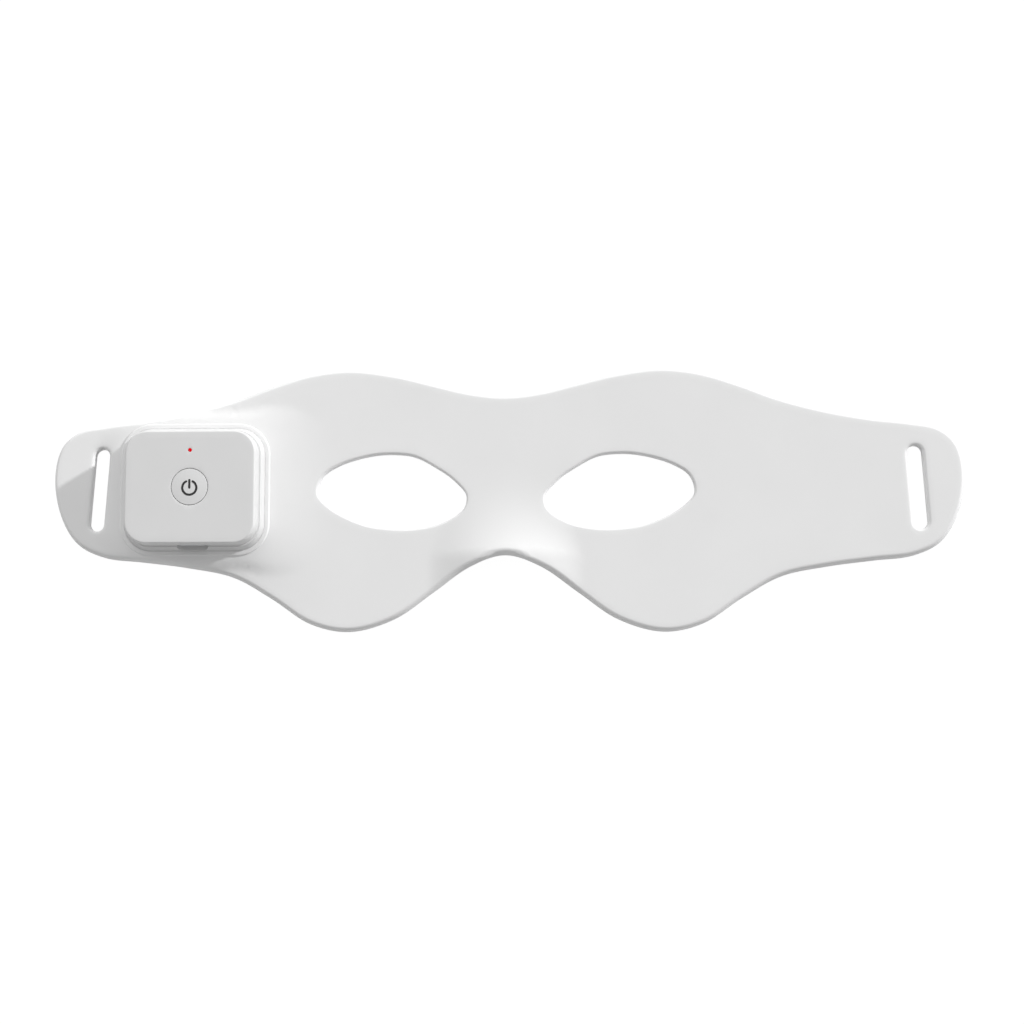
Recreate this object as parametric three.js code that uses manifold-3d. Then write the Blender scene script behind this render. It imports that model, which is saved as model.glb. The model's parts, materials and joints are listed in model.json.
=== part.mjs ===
// A soft silicone eye mask with red and infrared lamps on its face side and a small
// rechargeable controller on one wing. Millimetres, +Z out of the front, +Y towards the forehead.
import * as THREE from 'three';
import { mergeVertices } from 'three/addons/utils/BufferGeometryUtils.js';
import Module from 'manifold-3d';

const wasm = await Module();
wasm.setup();

// The silicone sheet: overall size, thickness and the round of its edges
const maskHalfLength = 139.8;
const maskHalfHeight = 40.55;
const sheetThickness = 3.6;
const frontEdgeRound = 1.8;
const backEdgeRound = 1.0;

// Half of the outline from the nose to the wing: length share, top share, bottom share
const outlineShares = [
  [0, 0.794, -0.431],
  [0.078, 0.822, -0.515],
  [0.157, 0.887, -0.701],
  [0.243, 0.958, -0.904],
  [0.342, 1, -1],
  [0.428, 0.966, -0.941],
  [0.514, 0.875, -0.75],
  [0.599, 0.766, -0.588],
  [0.699, 0.674, -0.515],
  [0.799, 0.6115, -0.4706],
  [0.884, 0.578, -0.435],
  [0.945, 0.534, -0.333],
  [0.984, 0.417, -0.1225],
];
const wingTipShare = 0.184;

// The nose bridge: how far it stands up, how wide it is and where it starts to climb
const noseHeight = 4.4;
const noseFootHalfWidth = 24;
const noseTopHalfWidth = 14;
const noseWidthTopY = 18;
const noseClimbTopY = 14;
const noseClimbPower = 2.8;
const noseAcrossPower = 2;
const noseCrownPower = 2;

// The eye openings
const eyeCentreX = 34.8;
const eyeCentreY = 2.45;
const eyeHalfLength = 23.6;
const eyeHalfHeight = 12.3;
const eyeRimRound = 0.75;
const eyeBackRound = 0.4;
const eyeShares = [
  [1, -0.064],
  [0.936, 0.416],
  [0.708, 0.72],
  [0.305, 0.952],
  [-0.004, 1],
  [-0.3, 0.928],
  [-0.61, 0.616],
  [-0.8, 0.36],
  [-0.987, -0.044],
  [-1, -0.272],
  [-0.949, -0.52],
  [-0.716, -0.816],
  [-0.3, -0.996],
  [0.123, -0.976],
  [0.417, -0.856],
  [0.822, -0.464],
];

// The strap slots, each for a strap 25 wide
const slotFromTip = 14.5;
const slotCentreY = 3.2;
const slotLength = 25.6;
const slotWidth = 4.7;
const slotLean = THREE.MathUtils.degToRad(4);
const slotRimRound = 0.5;

// The recess behind the sheet and the liner that closes it
const recessRim = 3;
const recessDepth = 2;
const recessSlotGap = 6.8;
const eyeWallWidth = 2.5;
const fitGap = 0.3;
const linerInset = 0.2;
const linerTop = 1.5;
const cutOverrun = 2;

// The flexible lamp circuit and its lamps
const circuitThickness = 0.2;
const bandWidth = 4.4;
const bandEdgeGap = 1;
const outerBandShare = 0.655;
const innerBandShares = [-0.3, 0.36];
const outerBandShares = [-0.25, 0.34];
const bridgeEndShare = 0.33;
const bridgeHeightShare = 0.352;
const lampLength = 2;
const lampWidth = 1.25;
const lampHeight = 0.65;
const wellClearance = 0.3;
const innerLampCount = 5;
const outerLampCount = 6;
const bridgeLampCount = 2;
const bridgeLampPitch = 16;

// The controller: flat top face, then every wall as an offset outwards from it
const controllerFromTip = 44.45;
const controllerY = 3;
const faceHalfX = 19.3;
const faceHalfY = 16.6;
const faceCorner = 6.1;
const controllerTop = 13.6;
const coverFillet = 0.55;
const coverSkirtOffset = 0.8;
const coverWallOffset = -1;
const coverTopThickness = 1.4;
const seamBottom = 7.5;
const seamGap = 0.3;
const sealSetback = 0.15;
const baseRimOffset = 1.35;
const baseWallOffset = 2.3;
const baseBottom = 2;
const baseFloorThickness = 1.2;
const flangeOffset = 3.1;
const flangeThickness = 1.1;
const tongueDrop = 0.6;

// The raised silicone frame that grips the controller, and the fairing that runs up to it
const plinthOffset = 3.8;
const plinthTop = 5.4;
const plinthRound = 0.5;
const fairingHeight = 1.3;
const fairingSideReach = 5;
const fairingWingReach = 19;

// The power button and its switch
const buttonRadius = 5.5;
const buttonGap = 0.15;
const buttonEdge = 0.12;
const buttonTravel = 0.35;
const buttonFlangeRadius = 6.8;
const buttonFlangeThickness = 0.35;
const switchSide = 5.2;
const switchHeight = 0.9;
const switchFloor = 0.2;
const plungerRadius = 1.3;
const plungerFloorGap = 0.1;

// The indicator above the button
const indicatorEdgeGap = 5.4;
const indicatorRadius = 0.55;
const indicatorClearance = 0.05;
const indicatorFlangeRadius = 1;
const indicatorFlangeThickness = 0.5;
const indicatorLedLength = 1.6;
const indicatorLedWidth = 0.8;
const indicatorLedHeight = 0.6;

// The main board and the screws that hold the case together
const boardClearance = 0.6;
const boardThickness = 0.8;
const screwInset = 3.1;
const bossRadius = 2.3;
const screwHoleRadius = 1.1;
const screwRadius = 0.8;
const screwHeadRadius = 1.5;
const screwHeadHeight = 1.1;
const counterboreRadius = 1.9;
const counterboreDepth = 1.4;
const screwTipGap = 0.6;

// The charge port, a reversible 24-pin socket
const portWidth = 9;
const portHeight = 3.2;
const portLength = 7.3;
const portWall = 0.3;
const portBack = 0.4;
const portRecess = 0.2;
const portTongueWidth = 6.7;
const portTongueHeight = 0.7;
const portTongueLength = 4.9;

// Parts on the main board
const controlChipSide = 4;
const controlChipHeight = 0.8;
const controlChipInset = 7.9;
const controlChipY = 3.5;
const chargerChipSide = 3;
const chargerChipHeight = 0.75;
const chargerChipX = 6.5;
const frontRowInset = 3.8;
const coilSide = 4;
const coilHeight = 1.6;
const coilChamfer = 0.8;
const coilInset = 6.7;
const coilY = -2.2;
const capacitorLength = 1.6;
const capacitorWidth = 0.8;
const capacitorHeight = 0.8;
const capacitorX = -7;
const rearRowInset = 5.5;
const connectorInset = 2.7;
const connectorHalfX = 1.4;
const connectorHalfY = 3;
const connectorHeight = 1.6;
const connectorRoof = 0.35;
const tailHalfWidth = 2.2;
const tailEndGap = 0.35;

// The battery, its pad and its two leads
const batterySideGap = 7.6;
const batteryPortGap = 2.3;
const batteryRearGap = 3.6;
const batteryThickness = 4;
const batteryCorner = 1.5;
const batteryEdge = 0.5;
const padThickness = 0.3;
const padInset = 2.5;
const leadRadius = 0.4;
const redLeadInset = 4.7;
const blackLeadInset = 2.5;
const leadBend = 0.8;

// How finely curved shapes are faceted
const noseSpans = 2;
const noseSamples = 3;
const sideSamples = 2;
const sheetRows = 10;
const recessRows = 6;
const eyeSamples = 44;
const endSamples = 8;
const cornerSamples = 5;
const roundSamples = 3;
const smallSides = 16;
const buttonSides = 40;

// Heights worked out from the sizes above
const floorTop = baseBottom + baseFloorThickness;
const seamTop = seamBottom + seamGap;
const coverCeiling = controllerTop - coverTopThickness;
const portZ = (seamBottom + seamTop) / 2;
const boardBottom = portZ + portHeight / 2;
const boardTop = boardBottom + boardThickness;
const circuitTop = linerTop + circuitThickness;
const flangeTop = baseBottom + flangeThickness;
const buttonFlangeTop = coverCeiling - fitGap;

// Places worked out from the sizes above
const { clamp, lerp } = THREE.MathUtils;
const notchY = outlineShares[0][2] * maskHalfHeight;
const browY = outlineShares[0][1] * maskHalfHeight;
const eyeTopY = eyeCentreY + eyeHalfHeight;
const eyeEndX = eyeCentreX + eyeHalfLength;
const slotCentreX = maskHalfLength - slotFromTip;
const recessHalfLength = slotCentreX - recessSlotGap;
const innerBandReach = eyeWallWidth + fitGap + bandEdgeGap + bandWidth / 2;
const outerBandReach = outerBandShare * (maskHalfHeight - recessRim - eyeTopY);
const bridgeHalfLength = eyeCentreX - bridgeEndShare * eyeHalfLength;
const bridgeY = lerp(eyeTopY, browY - recessRim, bridgeHeightShare);
const controllerX = controllerFromTip - maskHalfLength;
const portFrontY = -(faceHalfY + coverSkirtOffset) + portRecess;
const portBackY = portFrontY + portLength - portBack;

// What stands inside the controller, fitted between its walls
const boardHalfX = faceHalfX + coverWallOffset - boardClearance;
const boardHalfY = faceHalfY + coverWallOffset - boardClearance;
const boardCorner = faceCorner + coverWallOffset - boardClearance;
const screwX = boardHalfX - screwInset;
const screwY = boardHalfY - screwInset;
const indicatorY = faceHalfY - indicatorEdgeGap;
const controlChipX = controlChipInset - boardHalfX;
const chargerChipY = frontRowInset - boardHalfY;
const inputCapacitorY = frontRowInset - boardHalfY;
const outputCapacitorY = boardHalfY - rearRowInset;
const coilX = boardHalfX - coilInset;
const connectorX = boardHalfX - connectorInset;
const batteryHalfX = faceHalfX - batterySideGap;
const batteryFrontY = portFrontY + portLength + batteryPortGap;
const batteryHalfY = (faceHalfY - batteryRearGap - batteryFrontY) / 2;
const batteryY = batteryFrontY + batteryHalfY;

function solidFrom(vertices, triangles) {
  const vertProperties = new Float32Array(vertices.flat());
  const triVerts = new Uint32Array(triangles.flat());
  return new wasm.Manifold(new wasm.Mesh({ numProp: 3, vertProperties, triVerts }));
}

function solidOf(geometry) {
  const bare = geometry.clone();
  bare.deleteAttribute('normal');
  bare.deleteAttribute('uv');
  const merged = mergeVertices(bare);
  const vertProperties = new Float32Array(merged.attributes.position.array);
  const triVerts = new Uint32Array(merged.index.array);
  return new wasm.Manifold(new wasm.Mesh({ numProp: 3, vertProperties, triVerts }));
}

function union(solids) {
  return solids.reduce((all, next) => all.add(next));
}

function part(name, solid, color, roughness, metalness = 0) {
  const { vertProperties, triVerts, numProp } = solid.getMesh();
  const positions = [];
  for (let i = 0; i < vertProperties.length; i += numProp) {
    positions.push(vertProperties[i], vertProperties[i + 1], vertProperties[i + 2]);
  }
  const geometry = new THREE.BufferGeometry();
  geometry.setAttribute('position', new THREE.Float32BufferAttribute(positions, 3));
  geometry.setIndex(Array.from(triVerts));
  geometry.computeVertexNormals();
  const material = new THREE.MeshStandardMaterial({ color, roughness, metalness });
  const mesh = new THREE.Mesh(geometry, material);
  mesh.name = name;
  return mesh;
}

// Plain shapes, each standing on its own low height

function box(lowX, highX, lowY, highY, lowZ, highZ) {
  const shape = new THREE.BoxGeometry(highX - lowX, highY - lowY, highZ - lowZ);
  shape.translate((lowX + highX) / 2, (lowY + highY) / 2, (lowZ + highZ) / 2);
  return solidOf(shape);
}

function disc(radius, lowZ, highZ, x = 0, y = 0, sides = smallSides) {
  const shape = new THREE.CylinderGeometry(radius, radius, highZ - lowZ, sides);
  shape.rotateX(Math.PI / 2);
  shape.translate(x, y, (lowZ + highZ) / 2);
  return solidOf(shape);
}

function turned(profile, sides) {
  const shape = new THREE.LatheGeometry(profile.map(([r, z]) => new THREE.Vector2(r, z)), sides);
  shape.rotateX(Math.PI / 2);
  return solidOf(shape);
}

// Side walls between rings of vertices that follow one another
function wallTriangles(ringCount, ringSize) {
  const triangles = [];
  for (let ring = 0; ring < ringCount - 1; ring++) {
    const low = ring * ringSize;
    const high = low + ringSize;
    for (let i = 0; i < ringSize; i++) {
      const next = (i + 1) % ringSize;
      triangles.push([low + i, low + next, high + next], [low + i, high + next, high + i]);
    }
  }
  return triangles;
}

// A closed loop of points at each level, joined into one solid
function loopSolid(levels) {
  const count = levels[0].points.length;
  const vertices = [];
  for (const { points, z } of levels) {
    for (const [x, y] of points) vertices.push([x, y, z(x, y)]);
  }
  const triangles = wallTriangles(levels.length, count);
  const last = (levels.length - 1) * count;
  for (const [start, isTop] of [[0, false], [last, true]]) {
    const ends = vertices.slice(start, start + count);
    const middle = [0, 1, 2].map((axis) => ends.reduce((sum, v) => sum + v[axis], 0) / count);
    vertices.push(middle);
    const hub = vertices.length - 1;
    for (let i = 0; i < count; i++) {
      const next = (i + 1) % count;
      triangles.push(isTop ? [start + i, start + next, hub] : [start + next, start + i, hub]);
    }
  }
  return solidFrom(vertices, triangles);
}

function roundedLoop(halfX, halfY, corner, centreX = 0, centreY = 0) {
  const points = [];
  const corners = [[1, 1], [-1, 1], [-1, -1], [1, -1]];
  corners.forEach(([sideX, sideY], quarter) => {
    for (let step = 0; step <= cornerSamples; step++) {
      const angle = (quarter + step / cornerSamples) * Math.PI / 2;
      const x = centreX + sideX * (halfX - corner) + corner * Math.cos(angle);
      const y = centreY + sideY * (halfY - corner) + corner * Math.sin(angle);
      points.push([x, y]);
    }
  });
  return points;
}

function roundedBlock(halfX, halfY, corner, heights, insets, centreY = 0) {
  return loopSolid(heights.map((height, i) => ({
    points: roundedLoop(halfX - insets[i], halfY - insets[i], corner, 0, centreY),
    z: () => height,
  })));
}

// The controller's outline, moved outwards by an offset, at each height
function controllerSolid(levels, centreX = 0, centreY = 0) {
  return loopSolid(levels.map(([offset, height]) => ({
    points: roundedLoop(faceHalfX + offset, faceHalfY + offset, faceCorner + offset, centreX, centreY),
    z: () => height,
  })));
}

// A rounded bar that lies along Y, as the charge port does
function portBar(width, height, frontY, backY) {
  const radius = height / 2;
  const half = width / 2 - radius;
  const outline = new THREE.Shape();
  outline.moveTo(-half, -radius);
  outline.lineTo(half, -radius);
  outline.absarc(half, 0, radius, -Math.PI / 2, Math.PI / 2);
  outline.lineTo(-half, radius);
  outline.absarc(-half, 0, radius, Math.PI / 2, Math.PI * 3 / 2);
  const settings = { depth: backY - frontY, bevelEnabled: false, curveSegments: endSamples };
  const shape = new THREE.ExtrudeGeometry(outline, settings);
  shape.rotateX(Math.PI / 2);
  shape.translate(0, backY, portZ);
  return solidOf(shape);
}

// How the sheet bulges over the nose
function noseRise(x, y) {
  const climb = clamp((noseClimbTopY - y) / (noseClimbTopY - notchY), 0, 1);
  const widening = clamp((noseWidthTopY - y) / (noseWidthTopY - notchY), 0, 1);
  const halfWidth = lerp(noseTopHalfWidth, noseFootHalfWidth, widening);
  const across = Math.min(Math.abs(x) / halfWidth, 1);
  const crown = (1 - across ** noseAcrossPower) ** noseCrownPower;
  return noseHeight * climb ** noseClimbPower * crown;
}

// How the front surface climbs to the controller's frame, furthest on the side of the eye
function fairingRise(x, y) {
  const radius = faceCorner + plinthOffset;
  const fromX = x - controllerX;
  const fromY = y - controllerY;
  const pastX = Math.max(Math.abs(fromX) - (faceHalfX - faceCorner), 0) * Math.sign(fromX);
  const pastY = Math.max(Math.abs(fromY) - (faceHalfY - faceCorner), 0);
  const away = Math.hypot(pastX, pastY);
  const outside = away - radius;
  if (outside <= 0) return fairingHeight;
  const towardsEye = Math.max(pastX, 0) / away;
  const reach = lerp(fairingSideReach, fairingWingReach, towardsEye ** 2);
  return fairingHeight * Math.max(1 - outside / reach, 0) ** 2;
}

function frontZ(height) {
  const share = clamp((height - backEdgeRound) / (sheetThickness - backEdgeRound), 0, 1);
  return (x, y) => height + noseRise(x, y) + share * fairingRise(x, y);
}

function backZ(height) {
  return (x, y) => height + noseRise(x, y);
}

// The outline runs from the right wing tip over the forehead to the left tip and back below
function outlineCurve() {
  const point = (x, y) => new THREE.Vector3(x * maskHalfLength, y * maskHalfHeight, 0);
  const wing = outlineShares.slice(1);
  const points = [point(1, wingTipShare)];
  for (const [x, top] of [...wing].reverse()) points.push(point(x, top));
  points.push(point(0, outlineShares[0][1]));
  for (const [x, top] of wing) points.push(point(-x, top));
  points.push(point(-1, wingTipShare));
  for (const [x, , bottom] of [...wing].reverse()) points.push(point(-x, bottom));
  points.push(point(0, outlineShares[0][2]));
  for (const [x, , bottom] of wing) points.push(point(x, bottom));
  return new THREE.CatmullRomCurve3(points, true, 'centripetal');
}

function sampleCurve(curve, share) {
  const wrapped = ((share % 1) + 1) % 1;
  const point = curve.getPoint(wrapped);
  const along = curve.getTangent(wrapped);
  return { x: point.x, y: point.y, outX: along.y, outY: -along.x };
}

function moveOut({ x, y, outX, outY }, distance) {
  return [x + outX * distance, y + outY * distance];
}

// Matching points along the forehead edge and the cheek edge, tip to tip
function outlineColumns() {
  const curve = outlineCurve();
  const spans = curve.points.length;
  const columns = [];
  for (let span = 0; span < spans / 2; span++) {
    const nearNose = Math.abs(span + 0.5 - spans / 4) < noseSpans;
    const samples = nearNose ? noseSamples : sideSamples;
    for (let step = 0; step < samples; step++) {
      const share = (span + step / samples) / spans;
      columns.push({ upper: sampleCurve(curve, share), lower: sampleCurve(curve, 1 - share) });
    }
  }
  const tip = sampleCurve(curve, 0.5);
  columns.push({ upper: tip, lower: tip });
  return columns;
}

// Ribs of vertices from the forehead edge to the cheek edge, one for each column
function addRibs(vertices, start, z, rows) {
  const last = columns.length - 1;
  return columns.map((column, i) => {
    if (i === 0 || i === last) return [start + i];
    const rib = [start + i];
    const [upperX, upperY] = vertices[start + i];
    const [lowerX, lowerY] = vertices[start + 2 * last - i];
    for (let row = 1; row < rows; row++) {
      const x = lerp(upperX, lowerX, row / rows);
      const y = lerp(upperY, lowerY, row / rows);
      vertices.push([x, y, z(x, y)]);
      rib.push(vertices.length - 1);
    }
    rib.push(start + 2 * last - i);
    return rib;
  });
}

function ribTriangles(ribs, rows, facesUp) {
  const triangles = [];
  const add = (a, b, c) => triangles.push(facesUp ? [a, b, c] : [a, c, b]);
  for (let i = 0; i < ribs.length - 1; i++) {
    const right = ribs[i];
    const left = ribs[i + 1];
    for (let row = 0; row < rows; row++) {
      const rightEnd = Math.min(row, right.length - 1);
      const leftEnd = Math.min(row + 1, left.length - 1);
      if (left.length > 1) add(right[rightEnd], left[row], left[row + 1]);
      if (right.length > 1) add(right[row], left[leftEnd], right[row + 1]);
    }
  }
  return triangles;
}

// A sheet with the mask's outline: one ring for each level, its two faces filled by ribs
function sheetSolid(levels, rows) {
  const last = columns.length - 1;
  const ringSize = 2 * last;
  const vertices = [];
  for (const { inset, z } of levels) {
    for (let i = 0; i < ringSize; i++) {
      const sample = i <= last ? columns[i].upper : columns[ringSize - i].lower;
      const [x, y] = moveOut(sample, -inset);
      vertices.push([x, y, z(x, y)]);
    }
  }
  const triangles = wallTriangles(levels.length, ringSize);
  for (const level of [0, levels.length - 1]) {
    const ribs = addRibs(vertices, level * ringSize, levels[level].z, rows);
    triangles.push(...ribTriangles(ribs, rows, level > 0));
  }
  return solidFrom(vertices, triangles);
}

// Quarter round between two levels, as pairs of inset and height
function roundLevels(radius, height, rising) {
  const levels = [];
  for (let step = 0; step <= roundSamples; step++) {
    const angle = (step / roundSamples) * Math.PI / 2;
    const inset = radius * (1 - (rising ? Math.cos(angle) : Math.sin(angle)));
    const lift = radius * (rising ? Math.sin(angle) : 1 - Math.cos(angle));
    levels.push([inset, height + lift]);
  }
  return levels;
}

// The eye openings, the left one mirrored
function eyeCurve(side) {
  const points = eyeShares.map(([x, y]) => new THREE.Vector3(
    side * (eyeCentreX + x * eyeHalfLength),
    eyeCentreY + y * eyeHalfHeight,
    0,
  ));
  if (side < 0) points.reverse();
  return new THREE.CatmullRomCurve3(points, true, 'centripetal');
}

function eyeLoop(side, distance) {
  const curve = eyeCurve(side);
  const points = [];
  for (let i = 0; i < eyeSamples; i++) {
    const share = curve.getUtoTmapping(i / eyeSamples);
    points.push(moveOut(sampleCurve(curve, share), distance));
  }
  return points;
}

function eyeCutter(side) {
  const throat = -eyeRimRound;
  const back = throat + eyeBackRound;
  const levels = [[back, -cutOverrun], [back, 0], [throat, eyeBackRound]];
  for (const [inset, height] of roundLevels(eyeRimRound, sheetThickness - eyeRimRound, true)) {
    levels.push([throat + inset, height]);
  }
  levels.push([0, sheetThickness + cutOverrun]);
  return loopSolid(levels.map(([distance, height]) => ({
    points: eyeLoop(side, distance),
    z: frontZ(height),
  })));
}

function eyeColumn(side, distance) {
  const levels = [-cutOverrun, sheetThickness + cutOverrun];
  return loopSolid(levels.map((height) => ({ points: eyeLoop(side, distance), z: backZ(height) })));
}

// The strap slots lean inwards at the top
function slotLoop(side, growth) {
  const radius = slotWidth / 2 + growth;
  const straight = (slotLength - slotWidth) / 2;
  const points = [];
  for (const end of [1, -1]) {
    for (let step = 0; step <= endSamples; step++) {
      const angle = (end > 0 ? 0 : Math.PI) + (step / endSamples) * Math.PI;
      const x = radius * Math.cos(angle);
      const y = end * straight + radius * Math.sin(angle);
      const lean = side * slotLean;
      points.push([
        side * slotCentreX + x * Math.cos(lean) - y * Math.sin(lean),
        slotCentreY + x * Math.sin(lean) + y * Math.cos(lean),
      ]);
    }
  }
  return points;
}

function slotCutter(side) {
  const levels = [
    [slotRimRound, -cutOverrun],
    [slotRimRound, 0],
    [0, slotRimRound],
    [0, sheetThickness - slotRimRound],
    [slotRimRound, sheetThickness],
    [slotRimRound, sheetThickness + cutOverrun],
  ];
  return loopSolid(levels.map(([growth, height]) => ({ points: slotLoop(side, growth), z: () => height })));
}

// The moulded silicone front: rounded sheet, nose bridge, fairing, controller frame and cut-outs
function frontSkin() {
  const levels = [];
  for (const [inset, height] of roundLevels(backEdgeRound, 0, false)) {
    levels.push({ inset, z: frontZ(height) });
  }
  for (const [inset, height] of roundLevels(frontEdgeRound, sheetThickness - frontEdgeRound, true)) {
    levels.push({ inset, z: frontZ(height) });
  }
  const sheet = sheetSolid(levels, sheetRows).add(plinth());
  const cuts = [recess(), controllerSeat(), eyeCutter(1), eyeCutter(-1), slotCutter(1), slotCutter(-1)];
  return cuts.reduce((solid, cut) => solid.subtract(cut), sheet);
}

function plinth() {
  const rim = roundLevels(plinthRound, plinthTop - plinthRound, true)
    .map(([inset, height]) => [plinthOffset - inset, height]);
  return controllerSolid([[plinthOffset, flangeTop], ...rim], controllerX, controllerY);
}

// The window that the controller stands in, and below it the pocket for its flange
function controllerSeat() {
  const bottom = recessDepth - cutOverrun;
  const window = baseWallOffset + fitGap;
  const pocket = flangeOffset + fitGap;
  return controllerSolid([
    [pocket, bottom],
    [pocket, flangeTop + fitGap],
    [window, flangeTop + fitGap],
    [window, plinthTop + cutOverrun],
  ], controllerX, controllerY);
}

// A slab inside the outline, with straight ends and a wall left round each eye
function linedArea(rim, halfLength, eyeWall, lowZ, highZ) {
  const slab = sheetSolid([{ inset: rim, z: backZ(lowZ) }, { inset: rim, z: backZ(highZ) }], recessRows);
  const height = maskHalfHeight;
  const ends = box(-halfLength, halfLength, -height, height, lowZ - cutOverrun, highZ + noseHeight);
  return slab.intersect(ends).subtract(eyeColumn(1, eyeWall)).subtract(eyeColumn(-1, eyeWall));
}

function recess() {
  return linedArea(recessRim, recessHalfLength, eyeWallWidth, -cutOverrun, recessDepth);
}

// A place on the eye's edge, a share of the way round from its outer corner over the top
function besideEye(side, curve, along) {
  const share = side > 0 ? along : 1 - along - 1 / eyeShares.length;
  return sampleCurve(curve, curve.getUtoTmapping(((share % 1) + 1) % 1));
}

// Places of the lamps, each with the direction of its band
function bandPlaces(side, reach, [from, to], count) {
  const curve = eyeCurve(side);
  const places = [];
  for (let i = 0; i < count; i++) {
    const sample = besideEye(side, curve, lerp(from, to, (i + 0.5) / count));
    const [x, y] = moveOut(sample, reach);
    places.push({ x, y, angle: Math.atan2(sample.outY, sample.outX) + Math.PI / 2 });
  }
  return places;
}

function lampPlaces() {
  const places = [];
  for (const side of [1, -1]) {
    places.push(...bandPlaces(side, innerBandReach, innerBandShares, innerLampCount));
    places.push(...bandPlaces(side, outerBandReach, outerBandShares, outerLampCount));
  }
  for (let i = 0; i < bridgeLampCount; i++) {
    places.push({ x: (i - (bridgeLampCount - 1) / 2) * bridgeLampPitch, y: bridgeY, angle: 0 });
  }
  return places;
}

function lampBox({ x, y, angle }, growth, lowZ, highZ) {
  const shape = new THREE.BoxGeometry(lampLength + 2 * growth, lampWidth + 2 * growth, highZ - lowZ);
  shape.rotateZ(angle);
  shape.translate(x, y, (lowZ + highZ) / 2);
  return solidOf(shape);
}

function faceLiner() {
  const liner = linedArea(
    recessRim + fitGap,
    recessHalfLength - fitGap,
    eyeWallWidth + fitGap,
    linerInset,
    linerTop,
  );
  const wellFloor = linerTop - lampHeight - wellClearance;
  const wells = lamps.map((place) => lampBox(place, wellClearance, wellFloor, linerTop + cutOverrun));
  return liner.subtract(union(wells));
}

// Red and infrared lamps take turns along the bands
function lampParts() {
  return lamps.map((place, i) => {
    const number = String(Math.floor(i / 2) + 1).padStart(2, '0');
    const lamp = lampBox(place, 0, linerTop - lampHeight, linerTop);
    if (i % 2) return part('infrared_led_' + number, lamp, 0x3a2a38, 0.3);
    return part('red_led_' + number, lamp, 0xf4e6cf, 0.3);
  });
}

// One curved band of the circuit beside an eye
function circuitBand(side, reach, [from, to]) {
  const curve = eyeCurve(side);
  const outer = [];
  const inner = [];
  for (let i = 0; i <= eyeSamples / 2; i++) {
    const sample = besideEye(side, curve, lerp(from, to, i / (eyeSamples / 2)));
    outer.push(new THREE.Vector2(...moveOut(sample, reach + bandWidth / 2)));
    inner.push(new THREE.Vector2(...moveOut(sample, reach - bandWidth / 2)));
  }
  const shape = new THREE.Shape([...outer, ...inner.reverse()]);
  const band = new THREE.ExtrudeGeometry(shape, { depth: circuitThickness, bevelEnabled: false });
  band.translate(0, 0, linerTop);
  return solidOf(band);
}

// Places of the four case screws, as signs
const cornerSigns = [[1, 1], [-1, 1], [-1, -1], [1, -1]];

// Two bands round each eye, a bridge over the nose and a tail that rises into the controller
function ledCircuit() {
  const pieces = [];
  const film = [linerTop, circuitTop];
  const tailSides = [controllerY - tailHalfWidth, controllerY + tailHalfWidth];
  const nearX = eyeEndX + innerBandReach;
  const farX = eyeEndX + outerBandReach;
  for (const side of [1, -1]) {
    pieces.push(circuitBand(side, innerBandReach, innerBandShares));
    pieces.push(circuitBand(side, outerBandReach, outerBandShares));
  }
  pieces.push(box(nearX, farX, ...tailSides, ...film));
  const half = bandWidth / 2;
  pieces.push(box(-bridgeHalfLength, bridgeHalfLength, bridgeY - half, bridgeY + half, ...film));
  const riserX = controllerX + connectorX;
  pieces.push(box(riserX, -nearX, ...tailSides, ...film));
  const riserTop = boardBottom - connectorRoof - tailEndGap;
  pieces.push(box(riserX, riserX + circuitThickness, ...tailSides, linerTop, riserTop));
  return union(pieces);
}

function atScrews(radius, lowZ, highZ) {
  return union(cornerSigns.map(([sx, sy]) => disc(radius, lowZ, highZ, sx * screwX, sy * screwY)));
}

function portOpening() {
  const frontY = -(faceHalfY + flangeOffset);
  return portBar(portWidth + 2 * fitGap, portHeight + 2 * fitGap, frontY, portFrontY + portLength);
}

function riserSlot(lowZ, highZ) {
  const middle = connectorX + circuitThickness / 2;
  const halfX = circuitThickness / 2 + fitGap;
  const halfY = tailHalfWidth + fitGap;
  return box(middle - halfX, middle + halfX, -halfY, halfY, lowZ, highZ);
}

function controllerBase() {
  const outside = controllerSolid([
    [flangeOffset, baseBottom],
    [flangeOffset, flangeTop],
    [baseWallOffset, flangeTop],
    [baseWallOffset, plinthTop],
    [baseRimOffset, seamBottom],
  ]);
  const inside = controllerSolid([[0, floorTop], [0, seamBottom + cutOverrun]]);
  return outside
    .subtract(inside)
    .add(atScrews(bossRadius, baseBottom + baseFloorThickness / 2, boardBottom))
    .subtract(atScrews(screwHoleRadius, baseBottom - cutOverrun, boardBottom + cutOverrun))
    .subtract(atScrews(counterboreRadius, baseBottom - cutOverrun, baseBottom + counterboreDepth))
    .subtract(riserSlot(baseBottom - cutOverrun, floorTop + cutOverrun))
    .subtract(portOpening());
}

function controllerCover() {
  const filletLevels = roundLevels(coverFillet, controllerTop - coverFillet, true)
    .map(([inset, height]) => [coverFillet - inset, height]);
  const outside = controllerSolid([[coverSkirtOffset, seamTop], ...filletLevels]);
  const tongue = controllerSolid([
    [-fitGap, seamBottom - tongueDrop],
    [-fitGap, seamTop + coverFillet],
  ]);
  const inside = controllerSolid([
    [coverWallOffset, seamBottom - cutOverrun],
    [coverWallOffset, coverCeiling],
  ]);
  const postTop = coverCeiling + coverTopThickness / 2;
  const through = [coverCeiling - cutOverrun, controllerTop + cutOverrun];
  return outside
    .add(tongue)
    .subtract(inside)
    .add(atScrews(bossRadius, boardTop, postTop))
    .subtract(atScrews(screwHoleRadius, boardTop - cutOverrun, coverCeiling))
    .subtract(disc(buttonRadius + buttonGap, ...through, 0, 0, buttonSides))
    .subtract(disc(indicatorRadius + indicatorClearance, ...through, 0, indicatorY))
    .subtract(portOpening());
}

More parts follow.
